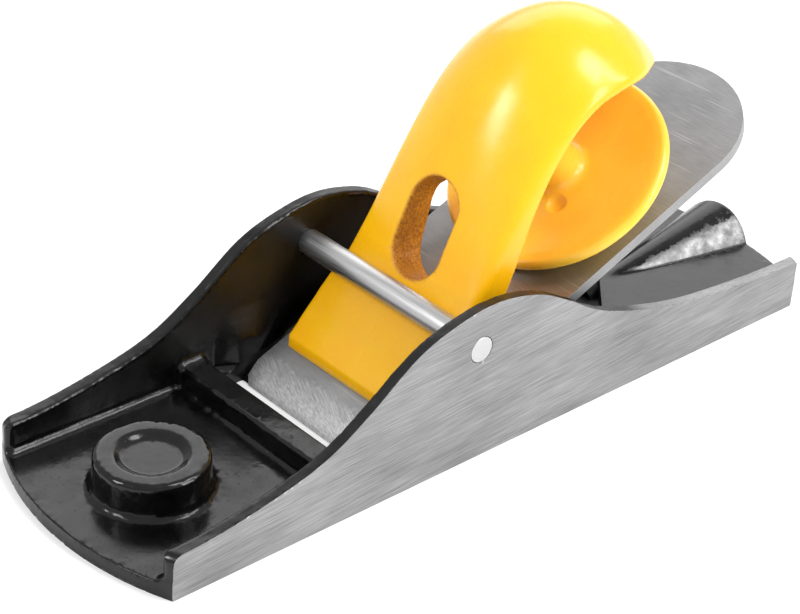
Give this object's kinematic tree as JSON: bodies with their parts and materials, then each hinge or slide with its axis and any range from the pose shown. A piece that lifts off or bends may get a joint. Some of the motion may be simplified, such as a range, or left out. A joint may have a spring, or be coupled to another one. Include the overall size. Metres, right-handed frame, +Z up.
{
  "type": "hand plane",
  "caption": "Low angle block plane with an iron body, sloping cutting iron, and a palm-shaped lever cap clamped by a large wheel under a cross pin.",
  "frame": {"origin": "bottom centre of the sole, midway between the toe and heel ends and between the cheeks", "axes": "+X from toe to heel, +Y across to the far cheek, +Z up from the sole"},
  "size_m": [0.18, 0.0536, 0.0742],
  "materials": {
    "body_enamel": "gloss black enamel inside and on the edges, ground bare iron on the cheeks and sole",
    "pin_steel": "bright drawn steel, ends ground flush",
    "iron_steel": "ground steel with fine streaks along its length",
    "yellow_paint": "thick gloss yellow paint on cast iron",
    "screw_steel": "zinc plated"
  },
  "bodies": {
    "body": {"plane_body": "body_enamel", "cross_pin": "pin_steel"},
    "iron": {"plane_iron": "iron_steel"},
    "cap": {"lever_cap": "yellow_paint"},
    "screw": {"wheel_screw": "screw_steel"},
    "wheel": {"cap_wheel": "yellow_paint"}
  },
  "joints": [
    {"name": "iron_slide", "type": "slide", "parent": "body", "child": "iron", "axis": [0.9241, 0, 0.382], "range_m": [-0.0009, 0.045]},
    {"name": "cap_rock", "type": "hinge", "parent": "body", "child": "cap", "pos_m": [-0.0123, 0, 0.02495], "axis": [0, 1, 0], "range_deg": [0, 3.5]},
    {"name": "screw_lift", "type": "slide", "parent": "cap", "child": "screw", "axis": [-0.5892, 0, 0.808], "range_m": [0, 0.0031]},
    {"name": "wheel_turn", "type": "hinge", "parent": "screw", "child": "wheel", "pos_m": [0.0321, 0, 0.03915], "axis": [-0.5892, 0, 0.808], "range_deg": [0, 720]}
  ],
  "couplings": [
    {"joint": "cap_rock", "follows": "wheel_turn", "ratio": 0.0047},
    {"joint": "screw_lift", "follows": "wheel_turn", "m_per_rad": 0.00023873}
  ]
}
